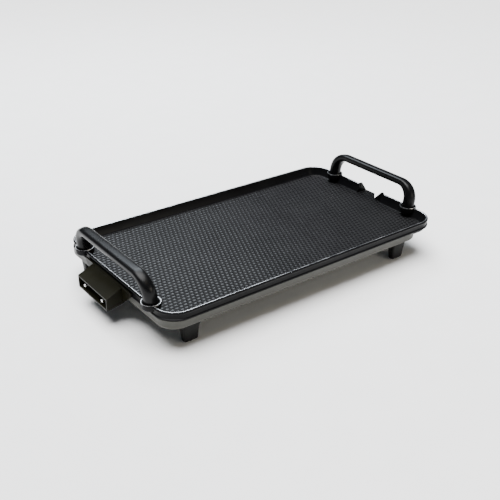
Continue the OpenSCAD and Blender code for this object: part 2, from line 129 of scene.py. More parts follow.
def fillet(points, radii, steps=5, closed=True):
    """Rounds the corners of a 2-D outline; radii holds one radius a corner."""
    points = [np.asarray(p, float) for p in points]
    out = []
    count = len(points)
    for i, (p, r) in enumerate(zip(points, radii)):
        if r <= 0 or (not closed and i in (0, count - 1)):
            out.append(p)
            continue
        a, b = points[i - 1] - p, points[(i + 1) % count] - p
        la, lb = np.linalg.norm(a), np.linalg.norm(b)
        a, b = a / la, b / lb
        half = math.acos(np.clip(a @ b, -1, 1)) / 2
        reach = min(r / math.tan(half), 0.49 * la, 0.49 * lb)
        r = reach * math.tan(half)
        middle = p + (a + b) / np.linalg.norm(a + b) * r / math.sin(half)
        start, end = p + a * reach - middle, p + b * reach - middle
        turn = math.acos(np.clip(start @ end / (r * r), -1, 1))
        for k in range(steps + 1):
            t = k / steps
            swing = math.sin((1 - t) * turn) * start + math.sin(t * turn) * end
            out.append(middle + swing / math.sin(turn))
    return np.array(out)


def rounded_loop(centre_x, half_x, half_y, corner, steps=10):
    """Outline of a rectangle with round corners, anticlockwise, and its inward normals."""
    points, normals = [], []
    for sx, sy, start in ((1, -1, 270), (1, 1, 0), (-1, 1, 90), (-1, -1, 180)):
        for k in range(steps + 1):
            a = math.radians(start + 90 * k / steps)
            out = np.array([math.cos(a), math.sin(a)])
            middle = np.array([centre_x + sx * (half_x - corner), sy * (half_y - corner)])
            points.append(middle + out * corner)
            normals.append(-out)
    return np.array(points), np.array(normals)


def densified(points, normals, step, closed=True):
    """Adds stations on long straight stretches of a path."""
    out_p, out_n = [], []
    count = len(points)
    for i in range(count if closed else count - 1):
        p, q = points[i], points[(i + 1) % count]
        n, m = normals[i], normals[(i + 1) % count]
        parts = max(1, int(np.linalg.norm(q - p) // step))
        for k in range(parts):
            out_p.append(p + (q - p) * k / parts)
            out_n.append(n + (m - n) * k / parts)
    if not closed:
        out_p.append(points[-1])
        out_n.append(normals[-1])
    out_n = np.array(out_n)
    return np.array(out_p), out_n / np.linalg.norm(out_n, axis=1)[:, None]


def swept(points, normals, profile, closed_path):
    """Sweeps a closed (distance in, height) profile along a path, with end faces if the path is open."""
    n, m = len(points), len(profile)
    verts = np.empty((n, m, 3))
    verts[:, :, 0] = points[:, 0:1] + normals[:, 0:1] * profile[None, :, 0]
    verts[:, :, 1] = points[:, 1:2] + normals[:, 1:2] * profile[None, :, 0]
    verts[:, :, 2] = profile[None, :, 1]
    faces = []
    for i in range(n if closed_path else n - 1):
        a, b = i * m, ((i + 1) % n) * m
        for j in range(m):
            k = (j + 1) % m
            faces.append((a + j, b + j, b + k, a + k))
    if not closed_path:
        faces.append(tuple(range(m)))
        faces.append(tuple((n - 1) * m + j for j in reversed(range(m))))
    return verts.reshape(-1, 3), faces


def lofted(loops, cap_start=True, cap_end=True):
    """Skins closed loops that have the same number of points."""
    m = len(loops[0])
    faces = []
    for i in range(len(loops) - 1):
        for j in range(m):
            k = (j + 1) % m
            faces.append((i * m + j, i * m + k, (i + 1) * m + k, (i + 1) * m + j))
    if cap_start:
        faces.append(tuple(reversed(range(m))))
    if cap_end:
        faces.append(tuple((len(loops) - 1) * m + j for j in range(m)))
    return np.concatenate(loops), faces


def lathed(profile, place, steps=48, axis=None):
    """Turns a (radius, height) profile round a line at a place; radius 0 points close it."""
    angles = np.linspace(0, 2 * math.pi, steps, endpoint=False)
    loops = []
    for r, z in profile:
        r = max(r, 0.01)
        loops.append(np.stack([r * np.cos(angles), r * np.sin(angles), np.full(steps, z)], 1))
    verts, faces = lofted(loops)
    if axis is not None:
        turn = np.array(Vector((0, 0, 1)).rotation_difference(Vector(axis)).to_matrix())
        verts = verts @ turn.T
    return verts + np.asarray(place, float), faces


def prism(outline, axis, low, high):
    """Straight prism of a 2-D outline between two places along an axis."""
    others = [i for i in range(3) if i != axis]
    loops = []
    for level in (low, high):
        loop = np.zeros((len(outline), 3))
        loop[:, others] = outline
        loop[:, axis] = level
        loops.append(loop)
    return lofted(loops)


# ---- materials ----

# How much finer the uneven roughness is than the two tones, and the grain's depth in metres.
ROUGHNESS_SCALE = 3.1
GRAIN_DEPTH = 0.0004


def shader_tree(mat):
    """A material's nodes, links and shader."""
    tree = mat.node_tree
    return tree.nodes, tree.links, tree.nodes["Principled BSDF"]


def noise_value(nodes, links, coords, scale, detail, low, high, stretch=None):
    """Noise, and the same noise turned into a value between low and high."""
    noise = nodes.new("ShaderNodeTexNoise")
    noise.inputs["Scale"].default_value = scale
    noise.inputs["Detail"].default_value = detail
    source = coords.outputs["Object"]
    if stretch is not None:
        mapping = nodes.new("ShaderNodeMapping")
        mapping.inputs["Scale"].default_value = stretch
        links.new(source, mapping.inputs["Vector"])
        source = mapping.outputs["Vector"]
    links.new(source, noise.inputs["Vector"])
    ranged = nodes.new("ShaderNodeMapRange")
    ranged.inputs["From Min"].default_value = 0.3
    ranged.inputs["From Max"].default_value = 0.7
    ranged.inputs["To Min"].default_value = low
    ranged.inputs["To Max"].default_value = high
    links.new(noise.outputs["Fac"], ranged.inputs["Value"])
    return noise.outputs["Fac"], ranged.outputs["Result"]


def material(name, dark, light, roughness, metallic=0.0, tone_scale=18.0, grain_scale=900.0,
             grain=0.05, specular=0.5, stretch=None):
    """Procedural finish: two tones mixed by noise, uneven roughness and a fine grain."""
    mat = bpy.data.materials.new(name)
    mat.use_nodes = True
    nodes, links, shader = shader_tree(mat)
    coords = nodes.new("ShaderNodeTexCoord")
    _, tone = noise_value(nodes, links, coords, tone_scale, 4.0, 0.0, 1.0, stretch)
    mix = nodes.new("ShaderNodeMix")
    mix.data_type = "RGBA"
    mix.inputs["A"].default_value = (*dark, 1.0)
    mix.inputs["B"].default_value = (*light, 1.0)
    links.new(tone, mix.inputs["Factor"])
    links.new(mix.outputs["Result"], shader.inputs["Base Color"])
    _, rough = noise_value(nodes, links, coords, tone_scale * ROUGHNESS_SCALE, 3.0, *roughness, stretch)
    links.new(rough, shader.inputs["Roughness"])
    fine, _ = noise_value(nodes, links, coords, grain_scale, 2.0, 0.0, 1.0, stretch)
    lift = nodes.new("ShaderNodeBump")
    lift.inputs["Strength"].default_value = grain
    lift.inputs["Distance"].default_value = GRAIN_DEPTH
    links.new(fine, lift.inputs["Height"])
    links.new(lift.outputs["Normal"], shader.inputs["Normal"])
    shader.inputs["Metallic"].default_value = metallic
    shader.inputs["Specular IOR Level"].default_value = specular
    return mat


MATERIALS = {
    "nonstick_plate": material(
        "nonstick_coat", (0.0030, 0.0030, 0.0034), (0.0055, 0.0055, 0.0060), (0.27, 0.36),
        grain=0.10, specular=0.07),
    "handle_plastic": material(
        "handle_moulding", (0.0020, 0.0020, 0.0022), (0.0035, 0.0035, 0.0038), (0.26, 0.34),
        grain=0.03, specular=0.13),
    "shroud_plastic": material(
        "shroud_moulding", (0.0038, 0.0036, 0.0010), (0.0056, 0.0052, 0.0017), (0.34, 0.44),
        grain=0.10, specular=0.10),
    "grey_paint": material(
        "grey_enamel", (0.044, 0.044, 0.0380), (0.055, 0.055, 0.0480), (0.40, 0.50),
        grain=0.05, specular=0.15),
    "foot_plastic": material(
        "foot_moulding", (0.0085, 0.0085, 0.0080), (0.0120, 0.0120, 0.0113), (0.40, 0.50),
        grain=0.08, specular=0.08),
    "pad_rubber": material(
        "pad_rubber_mix", (0.020, 0.020, 0.020), (0.034, 0.034, 0.034), (0.70, 0.85),
        grain=0.3, specular=0.20),
    "zinc_steel": material(
        "zinc_plating", (0.42, 0.42, 0.40), (0.56, 0.56, 0.53), (0.28, 0.42), metallic=1.0),
    "element_sheath": material(
        "tinted_sheath", (0.14, 0.11, 0.09), (0.24, 0.20, 0.17), (0.40, 0.55), metallic=1.0,
        tone_scale=40.0),
    "nickel": material(
        "nickel_plating", (0.86, 0.85, 0.83), (0.92, 0.91, 0.89), (0.24, 0.34), metallic=1.0),
    "bush_ceramic": material(
        "bush_ceramic_body", (0.60, 0.58, 0.52), (0.72, 0.70, 0.64), (0.45, 0.60), grain=0.2),
    "bare_aluminium": material(
        "rolled_aluminium", (0.58, 0.58, 0.59), (0.70, 0.70, 0.71), (0.22, 0.38), metallic=1.0,
        stretch=(1.0, 14.0, 1.0)),
    "spring_brass": material(
        "brass_strip", (0.56, 0.42, 0.16), (0.68, 0.53, 0.24), (0.22, 0.35), metallic=1.0),
}


def bumped_coat():
    """The plate's coating where the floor is bumped: smoother on the bumps' tops than between them."""
    mat = MATERIALS["nonstick_plate"].copy()
    mat.name = "nonstick_bumps"
    nodes, links, shader = shader_tree(mat)
    coords = nodes.new("ShaderNodeTexCoord")
    height = nodes.new("ShaderNodeSeparateXYZ")
    links.new(coords.outputs["Object"], height.inputs["Vector"])
    polish = nodes.new("ShaderNodeMapRange")
    polish.inputs["From Min"].default_value = (FLOOR_Z + POLISH_FROM) * MM
    polish.inputs["From Max"].default_value = (FLOOR_Z + POLISH_TO) * MM
    polish.inputs["To Min"].default_value = GAP_ROUGHNESS
    polish.inputs["To Max"].default_value = TOP_ROUGHNESS
    links.new(height.outputs["Z"], polish.inputs["Value"])
    links.new(polish.outputs["Result"], shader.inputs["Roughness"])
    shader.inputs["Specular IOR Level"].default_value = BUMP_SPECULAR
    return mat


def shifted(obj):
    """Moves a mesh built round the plate's middle to its place in the row frame."""
    obj.data.transform(Matrix.Translation((SHIFT * MM, 0, 0)))
    return obj


def finish_piece(obj, body, slot, *nodes):
    """Gives a piece the material of its slot and its body, and hides the CAD nodes that it stands for."""
    obj.data.materials.clear()
    obj.data.materials.append(MATERIALS[slot])
    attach(obj, body)
    if nodes:
        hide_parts(*nodes)
    return obj


# ---- plate ----

RIM_BEAD = 4.4
SKIRT_RECESS = 1.5
LIP_OUTLINE = np.array([
    (HALF_LENGTH - WALL_FOOT - 4, SPOUT_Y[1]), (HALF_LENGTH + LIP_REACH - 2, SPOUT_Y[1]),
    (HALF_LENGTH + LIP_REACH, SPOUT_Y[1] - 2), (HALF_LENGTH + LIP_REACH, SPOUT_Y[1] - 20),
    (HALF_LENGTH - 2, -8.0), (HALF_LENGTH - WALL_FOOT - 4, -8.0),
])
GAP_FLOOR = np.array([
    (HALF_LENGTH - WALL_FOOT - 4, SPOUT_Y[0]), (HALF_LENGTH - DISH_INSET, SPOUT_Y[0]),
    (HALF_LENGTH - DISH_INSET, -7.0), (HALF_LENGTH - WALL_FOOT - 4, -7.0),
])
# The bumps' lattice (one bump to the next along a row, and to the next row), half sizes and height.
BUMP_ROW = np.array([7.06, 0.79])
BUMP_STEP = np.array([2.85, 6.53])
BUMP_HALF = (3.45, 2.95)
BUMP_HEIGHT = 0.6
# Power that shapes a bump's section: 0.5 is a half ellipse, 1 a parabola.
BUMP_CROWN = 0.7
# Distance over which the bumps die away at the floor's edge.
EDGE_FADE = 1.2
# Mesh steps from one bump to the next.
BUMP_PARTS = 6
# Heights above the floor between which the coating goes from the gaps' roughness to the tops'.
POLISH_FROM, POLISH_TO = 0.02, 0.30
GAP_ROUGHNESS, TOP_ROUGHNESS = 0.85, 0.26
BUMP_SPECULAR = 0.17


def wall_profile():
    """Closed section of the plate's wall: distance in from its edge, and height."""
    half = RIM_BEAD / 2
    bead = [(half * (1 + math.cos(a)), RIM_Z + half * (math.sin(a) - 1))
            for a in np.radians(np.arange(180, -1, -15))]
    foot = [(WALL_FOOT + 3 * math.cos(a), FLOOR_Z + 3 * (1 + math.sin(a)))
            for a in np.radians(np.linspace(197, 270, 7))]
    low = fillet([(WALL_FOOT + 2, FLOOR_Z - 0.1), (WALL_FOOT + 2, UNDER_Z), (DISH_INSET, UNDER_Z),
                  (DISH_INSET, SKIRT_Z), (0, SKIRT_Z), (0, SKIRT_Z + 1.8), (SKIRT_RECESS, SKIRT_Z + 2.7),
                  (SKIRT_RECESS, RIM_Z - 4.1), (0, RIM_Z - 3.0)],
                 [0, 0, 1.6, 0, 0.5, 0.5, 0.4, 0.4, 0.4], steps=3)
    return np.array(bead + foot + [tuple(p) for p in low])


def gap_path(points, normals, low_y, high_y, side):
    """Opens a closed path between two Y places on its side at +X (side 1) or -X (side -1)."""
    edge = points[:, 0].max() if side > 0 else points[:, 0].min()
    count = len(points)
    start = next(i for i in range(count)
                 if abs(points[i][0] - edge) < 1e-6 and abs(points[(i + 1) % count][0] - edge) < 1e-6)
    order = [(start + 1 + i) % count for i in range(count)]
    first, last = (high_y, low_y) if side > 0 else (low_y, high_y)
    normal = np.array([-side, 0.0])
    path = [np.array([edge, first])] + [points[i] for i in order] + [np.array([edge, last])]
    path_normals = [normal] + [normals[i] for i in order] + [normal]
    return np.array(path), np.array(path_normals)


def bump_height(x, y):
    """Height of the floor's bumps at plate places."""
    basis = np.linalg.inv(np.stack([BUMP_ROW, BUMP_STEP], 1))
    place = basis @ np.stack([x, y])
    cell = np.floor(place)
    row = BUMP_ROW / np.linalg.norm(BUMP_ROW)
    nearest = np.full(x.shape, 9.0)
    for i in (0, 1):
        for j in (0, 1):
            delta = place - cell - np.array([[i], [j]])
            apart = delta[0] * BUMP_ROW[:, None] + delta[1] * BUMP_STEP[:, None]
            along = apart[0] * row[0] + apart[1] * row[1]
            across = apart[1] * row[0] - apart[0] * row[1]
            nearest = np.minimum(nearest, (along / BUMP_HALF[0]) ** 2 + (across / BUMP_HALF[1]) ** 2)
    return BUMP_HEIGHT * np.clip(1 - nearest, 0, 1) ** BUMP_CROWN


def outside_by(points, outline):
    """How far points lie outside a convex outline, whichever way it runs, and their nearest edge points."""
    middle = outline.mean(0)
    distance = np.full(len(points), -1e9)
    nearest = points.copy()
    best = np.full(len(points), 1e9)
    for p, q in zip(outline, np.roll(outline, -1, 0)):
        along = (q - p) / np.linalg.norm(q - p)
        out = np.array([along[1], -along[0]])
        out *= -1 if (middle - p) @ out > 0 else 1
        distance = np.maximum(distance, (points - p) @ out)
        t = np.clip((points - p) @ along, 0, np.linalg.norm(q - p))
        foot = p + t[:, None] * along
        gap = np.linalg.norm(points - foot, axis=1)
        nearest[gap < best] = foot[gap < best]
        best = np.minimum(best, gap)
    return distance, nearest


def bumped_floor():
    """The pan's floor and lip as one bumped skin, laid out along the bumps' own rows."""
    reach = 300.0
    rows = int(reach / BUMP_STEP[1]) + 1
    columns = int(reach / BUMP_ROW[0]) + 12
    i = np.arange(-columns * BUMP_PARTS, columns * BUMP_PARTS + 1) / BUMP_PARTS
    j = np.arange(-rows * BUMP_PARTS, rows * BUMP_PARTS + 1) / BUMP_PARTS
    gi, gj = np.meshgrid(i, j, indexing="ij")
    flat = gi.ravel()[:, None] * BUMP_ROW + gj.ravel()[:, None] * BUMP_STEP
    inset = WALL_FOOT - 3.0
    rounding = CORNER - inset
    q = np.abs(flat) - np.array([HALF_LENGTH - inset - rounding, HALF_WIDTH - inset - rounding])
    pan = np.linalg.norm(np.maximum(q, 0), axis=1) + np.minimum(q.max(1), 0) - rounding
    lip, lip_edge = outside_by(flat, LIP_OUTLINE)
    gap, gap_edge = outside_by(flat, GAP_FLOOR)
    inside = (pan <= 0) | (lip <= 0) | (gap <= 0)
    shape = gi.shape
    index = np.arange(flat.shape[0]).reshape(shape)
    quads = np.stack([index[:-1, :-1], index[1:, :-1], index[1:, 1:], index[:-1, 1:]], -1).reshape(-1, 4)
    touched = inside[quads].any(1)
    whole = inside[quads].all(1)
    corner_x, corner_y = flat[quads][:, :, 0], flat[quads][:, :, 1]
    near_lip = (corner_x.min(1) > HALF_LENGTH - WALL_FOOT - 3) & (np.abs(corner_y).max(1) < 40)
    quads = quads[whole | (touched & near_lip)]
    moved = flat.copy()
    stray = ~inside
    use_lip = stray & (lip <= gap)
    use_gap = stray & (lip > gap)
    moved[use_lip] = lip_edge[use_lip]
    moved[use_gap] = gap_edge[use_gap]
    used = np.unique(quads)
    renumber = np.full(flat.shape[0], -1)
    renumber[used] = np.arange(len(used))
    flat = moved[used]
    z = FLOOR_Z + bump_height(flat[:, 0], flat[:, 1])
    edge_pull = np.clip(-np.minimum(np.minimum(pan, lip), gap)[used] / EDGE_FADE, 0, 1)
    z = FLOOR_Z + (z - FLOOR_Z) * np.where(inside[used], edge_pull, 0)
    return np.column_stack([flat, z]), [tuple(q) for q in renumber[quads]]


def boss_parts(x, y):
    """Cup-shaped boss round a handle post, tapered under its ring, with its root inside the pan."""
    top = RIM_Z + 1
    bore = STUB_RADIUS + 0.4
    profile = fillet([(0, SKIRT_Z), (5.5, SKIRT_Z), (BOSS_RADIUS, BOSS_CONE_TOP), (BOSS_RADIUS, top - 1.0),
                      (BOSS_RADIUS - 0.4, top), (bore, top), (bore, BOSS_FLOOR), (0, BOSS_FLOOR)],
                     [0, 0.6, 3.0, 0.5, 0.5, 0.6, 0, 0], steps=5)
    cup = lathed(profile, (x, y, 0), 64)
    side = math.copysign(1, x)
    limit = side * (HALF_LENGTH - DISH_INSET - 2) - x
    angles = np.linspace(0, 2 * math.pi, 65)[:-1]
    loops = []
    for z, radius in ((FLOOR_Z - 1.0, BOSS_RADIUS - 5.2), (FLOOR_Z + 0.8, BOSS_RADIUS - 4.4),
                      (BOSS_CONE_TOP - 0.6, BOSS_RADIUS - 0.4), (BOSS_CONE_TOP + 0.8, BOSS_RADIUS)):
        outline = np.stack([radius * np.cos(angles), radius * np.sin(angles)], 1)
        outline[:, 0] = np.minimum(outline[:, 0], limit) if side > 0 else np.maximum(outline[:, 0], limit)
        loops.append(np.column_stack([outline + np.array([x, y]), np.full(len(outline), z)]))
    return [cup, lofted(loops)]


def post_places():
    """Plate places of the handle posts, read from the handles' boxes."""
    places = []
    for node, side in (("handle_socket_end", -1), ("handle_spout_end", 1)):
        low, high = box_mm(node)
        for y in (low[1] + STUB_RADIUS, high[1] - STUB_RADIUS):
            places.append((side * (HALF_LENGTH - POST_INSET), y))
    return places


def wall_path():
    """Path of the plate's edge, open at the spout gap, and its inward normals."""
    path, normals = rounded_loop(0, HALF_LENGTH, HALF_WIDTH, CORNER, steps=14)
    path, normals = gap_path(path, normals, *SPOUT_Y, side=1)
    return densified(path, normals, 24, closed=False)


def build_casting():
    """Wall, bosses and underside of the plate."""
    parts = [swept(*wall_path(), wall_profile(), closed_path=False)]
    for x, y in post_places():
        parts += boss_parts(x, y)
    inset = 6
    low_path, _ = rounded_loop(0, HALF_LENGTH - inset, HALF_WIDTH - inset, CORNER - inset, steps=10)
    under = np.column_stack([low_path, np.full(len(low_path), UNDER_Z)])
    over = under + np.array([0, 0, 2.0])
    parts.append(lofted([under, over], cap_end=False))
    obj = shifted(add_mesh("plate_casting", *merged(parts)))
    finish_piece(obj, "plate", "nonstick_plate", "griddle_plate")


def build_painted_highlight_edge():
    """Painted highlights: a thin bright strip along the rim's bead, and a ring on each boss, standing in for
    the light that they catch.
    """
    bead = RIM_BEAD / 2
    outer, inner = bead + 0.04, bead - 0.2
    angles = np.radians(np.arange(98, 61, -6))
    strip = np.array([(bead + r * math.cos(a), RIM_Z - bead + r * math.sin(a))
                      for r, order in ((outer, 1), (inner, -1)) for a in angles[::order]])
    lines = [swept(*wall_path(), strip, closed_path=False)]
    turn = np.linspace(0, 2 * math.pi, 64, endpoint=False)
    spokes = np.stack([np.cos(turn), np.sin(turn)], 1)
    low, high, width = RIM_Z + 0.8, RIM_Z + 1.04, 0.9
    ring = np.array([(0.0, low), (width, low), (width, high), (0.1, high)])
    for x, y in post_places():
        circle = spokes * (BOSS_RADIUS - 0.3) + np.array([x, y])
        lines.append(swept(circle, -spokes, ring, closed_path=True))
    line = shifted(add_mesh("plate_painted_highlight_edge", *merged(lines)))
    # The bare-aluminium finish on this strip and these rings is a painted highlight.
    finish_piece(line, "plate", "bare_aluminium")


def build_floor():
    """The pan's bumped floor, with a coating that is smoother on the bumps."""
    floor = shifted(add_mesh("plate_floor_bumps", *bumped_floor(), smooth_angle=80))
    finish_piece(floor, "plate", "nonstick_plate")
    floor.data.materials[0] = bumped_coat()


def build_spout():
    """Pouring lip under the bumped skin, the tall fin behind it and the web in front of it."""
    bottom = FLOOR_Z - 3
    peak = RIM_Z + 2
    end = HALF_LENGTH + LIP_REACH
    lip = lofted([np.column_stack([LIP_OUTLINE, np.full(len(LIP_OUTLINE), z)]) for z in (bottom, FLOOR_Z)],
                 cap_end=False)
    fin = prism(np.array([
        (HALF_LENGTH - 3, bottom), (end, bottom), (end, FLOOR_Z),
        (HALF_LENGTH + 2.4, peak - 1), (HALF_LENGTH - 3, peak - 1)]), 1, SPOUT_Y[1], SPOUT_Y[1] + 3)
    web = prism(np.array([
        (SPOUT_Y[0] - 2, bottom), (-8, bottom), (-8, FLOOR_Z), (SPOUT_Y[0] + 2, peak),
        (SPOUT_Y[0] - 2, peak)]), 0, HALF_LENGTH - 4, HALF_LENGTH - 1)
    spout = shifted(add_mesh("plate_spout", *merged([lip, fin, web])))
    bevel(spout, 0.5)
    finish_piece(spout, "plate", "nonstick_plate")


# ---- handles ----

# How much fuller the posts are than the CAD's bars: the floor's reflection thins their outline.
POST_FULLER = 0.35


def handle_path(low_y, high_y, side):
    """Stations of a handle: place, frame of its section, and how far it is from post (0) to grip (1)."""
    lean = math.radians(8.5)
    grip_z, bend = 33.5, 24.0
    up = np.array([side * math.sin(lean), 0, math.cos(lean)])
    out = np.array([side * math.cos(lean), 0, -math.sin(lean)])
    base = np.array([side * (HALF_LENGTH - POST_INSET), 0, RIM_Z])
    flat = [(low_y, h, 90.0, 0.0) for h in (1.5, 5.0, grip_z - bend)]
    steps = 16
    for k in range(1, steps + 1):
        a = 90 * k / steps
        y = low_y + bend * (1 - math.cos(math.radians(a)))
        h = grip_z - bend + bend * math.sin(math.radians(a))
        flat.append((y, h, 90 - a, k / steps))
    middle = 12
    for k in range(1, middle):
        flat.append((low_y + bend + (high_y - low_y - 2 * bend) * k / middle, grip_z, 0.0, 1.0))
    flat += [(low_y + high_y - y, h, -a, t) for y, h, a, t in reversed(flat[:3 + steps])]
    stations = []
    for z, t in ((BOSS_FLOOR, 0), (BOSS_FLOOR + 3, 0), (RIM_Z - 1.5, 0)):
        stations.append((base + np.array([0, low_y, z - RIM_Z]), np.array([side, 0.0, 0.0]),
                         np.array([0, -1.0, 0]), 0.0))
    for y, h, a, t in flat:
        across = -math.sin(math.radians(a)) * np.array([0, 1.0, 0]) + math.cos(math.radians(a)) * up
        stations.append((base + np.array([0, y, 0]) + up * h, out, across, t))
    for z in (RIM_Z - 1.5, BOSS_FLOOR + 3, BOSS_FLOOR):
        stations.append((base + np.array([0, high_y, z - RIM_Z]), np.array([side, 0.0, 0.0]),
                         np.array([0, 1.0, 0]), 0.0))
    return stations


def build_handle(name, node, side, grip_half=(8.1, 5.75)):
    low, high = box_mm(node)
    angles = np.linspace(0, 2 * math.pi, 40, endpoint=False)
    loops = []
    post = POST_RADIUS + POST_FULLER
    for place, wide, thick, t in handle_path(low[1] + STUB_RADIUS, high[1] - STUB_RADIUS, side):
        ease = t * t * (3 - 2 * t)
        half_w = post + (grip_half[0] - post) * ease
        half_t = post + (grip_half[1] - post) * ease
        power = 2 / (2.0 + 0.9 * ease)
        c, s = np.cos(angles), np.sin(angles)
        across = np.sign(c) * np.abs(c) ** power * half_w
        over = np.sign(s) * np.abs(s) ** power * half_t
        loops.append(place + across[:, None] * wide + over[:, None] * thick)
    obj = shifted(add_mesh(name, *lofted(loops)))
    finish_piece(obj, "plate", "handle_plastic", node)


# ---- socket ----


def build_shroud():
    back = SHROUD_HIGH[0]
    mouth_x = SHROUD_LOW[0]
    wall_x = -HALF_LENGTH + SHIFT
    low_y, high_y = SOCKET_Y - SHROUD_WIDTH / 2, SOCKET_Y + SHROUD_WIDTH / 2
    mouth_z, mouth_top, wall = 25.0, 43.0, 2.2
    top_slope, floor_slope = 0.4545, 0.2

    def floor_at(x):
        return mouth_z + (x - mouth_x) * floor_slope

    def roof_at(x):
        return mouth_top + (x - mouth_x) * top_slope

    lip = 6.0
    step = wall_x - 2.6
    outer = [(mouth_x, floor_at(mouth_x)), (wall_x, floor_at(wall_x)), (wall_x, roof_at(wall_x)),
             (step, roof_at(step)), (step - 0.5, roof_at(step) - 0.7),
             (mouth_x + lip, roof_at(mouth_x + lip) - 0.3), (mouth_x, mouth_top)]
    inner = [(mouth_x, floor_at(mouth_x) + wall), (step, floor_at(step) + wall),
             (step, roof_at(step) - wall), (step - 0.5, roof_at(step - 0.5) - wall),
             (step - 1.0, roof_at(step - 1.0) - wall), (mouth_x + lip, roof_at(mouth_x + lip) - wall),
             (mouth_x, mouth_top - wall)]
    shell_y = (low_y, high_y)
    hollow_y = (low_y + wall, high_y - wall)
    verts, faces = [], []
    for outline, ends in ((outer, shell_y), (inner, hollow_y)):
        for y in ends:
            verts += [(x, y, z) for x, z in outline]
    n = len(outer)
    for base in (0, 2 * n):
        for j in range(n):
            k = (j + 1) % n
            if (j, k) == (n - 1, 0):
                continue
            faces.append((base + j, base + k, base + n + k, base + n + j))
        faces.append(tuple(base + j for j in range(n)))
        faces.append(tuple(base + n + j for j in reversed(range(n))))
    o0, o1, i0, i1 = 0, n, 2 * n, 3 * n
    last = n - 1
    faces += [(o0, o1, i1, i0), (o1, o1 + last, i1 + last, i1),
              (o1 + last, o0 + last, i0 + last, i1 + last), (o0 + last, o0, i0, i0 + last)]
    shell = add_mesh("socket_shroud_shell", verts, faces, smooth_angle=20)
    bevel(shell, 0.4)
    finish_piece(shell, "plate", "shroud_plastic", "socket_shroud")
    root, tongue_top, half_tongue = wall_x - 1, mouth_z + 8.2, 34
    section = np.array([(root, floor_at(root)), (back, floor_at(back)),
                        (back, tongue_top), (root, tongue_top)])
    slab = prism(section, 1, SOCKET_Y - half_tongue, SOCKET_Y + half_tongue)
    tongue = add_mesh("socket_shroud_tongue", *slab)
    bevel(tongue, 0.4)
    finish_piece(tongue, "plate", "shroud_plastic")
    edge_y = (high_y - low_y) / 2
    reach = (SHROUD_HIGH[1] - SHROUD_LOW[1] - SHROUD_WIDTH) / 2
    for side, name in ((-1, "front"), (1, "back")):
        outline = np.array([(edge_y - 1, 30.5), (edge_y + reach / 2 - 1.5, 38.4), (edge_y + reach - 1, 48.5),
                            (edge_y + reach, 54), (edge_y - 1, 54)])
        outline[:, 0] = SOCKET_Y + side * outline[:, 0]
        wing = add_mesh("socket_shroud_wing_" + name, *prism(outline, 0, wall_x - 2.4, wall_x))
        bevel(wing, 0.5)
        finish_piece(wing, "plate", "shroud_plastic")


def build_pins():
    low, high = box_mm("terminal_pins")
    slope = math.radians(9.5)
    axis = (-math.cos(slope), 0, -math.sin(slope))
    radius, shank_radius, root_z, shoulder_z, length = 2.25, 1.9, 0.6, 9.2, 35
    parts = []
    for y in (low[1] + radius, high[1] - radius):
        start = np.array([-HALF_LENGTH + 10 + SHIFT, y, 38.9])
        profile = fillet([(0, root_z), (shank_radius, root_z), (shank_radius, shoulder_z),
                          (radius, shoulder_z), (radius, length), (0, length)],
                         [0, 0, 0, 0.2, 1.0, 0], steps=4)
        parts.append(lathed(profile, start, 32, axis))
    finish_piece(add_mesh("socket_pins", *merged(parts)), "plate", "nickel", "terminal_pins")


# ---- base ----


def quarter_turn(count):
    """Sines and cosines at even steps over a quarter turn."""
    return [(math.sin(math.radians(a)), math.cos(math.radians(a))) for a in np.linspace(0, 90, count)]


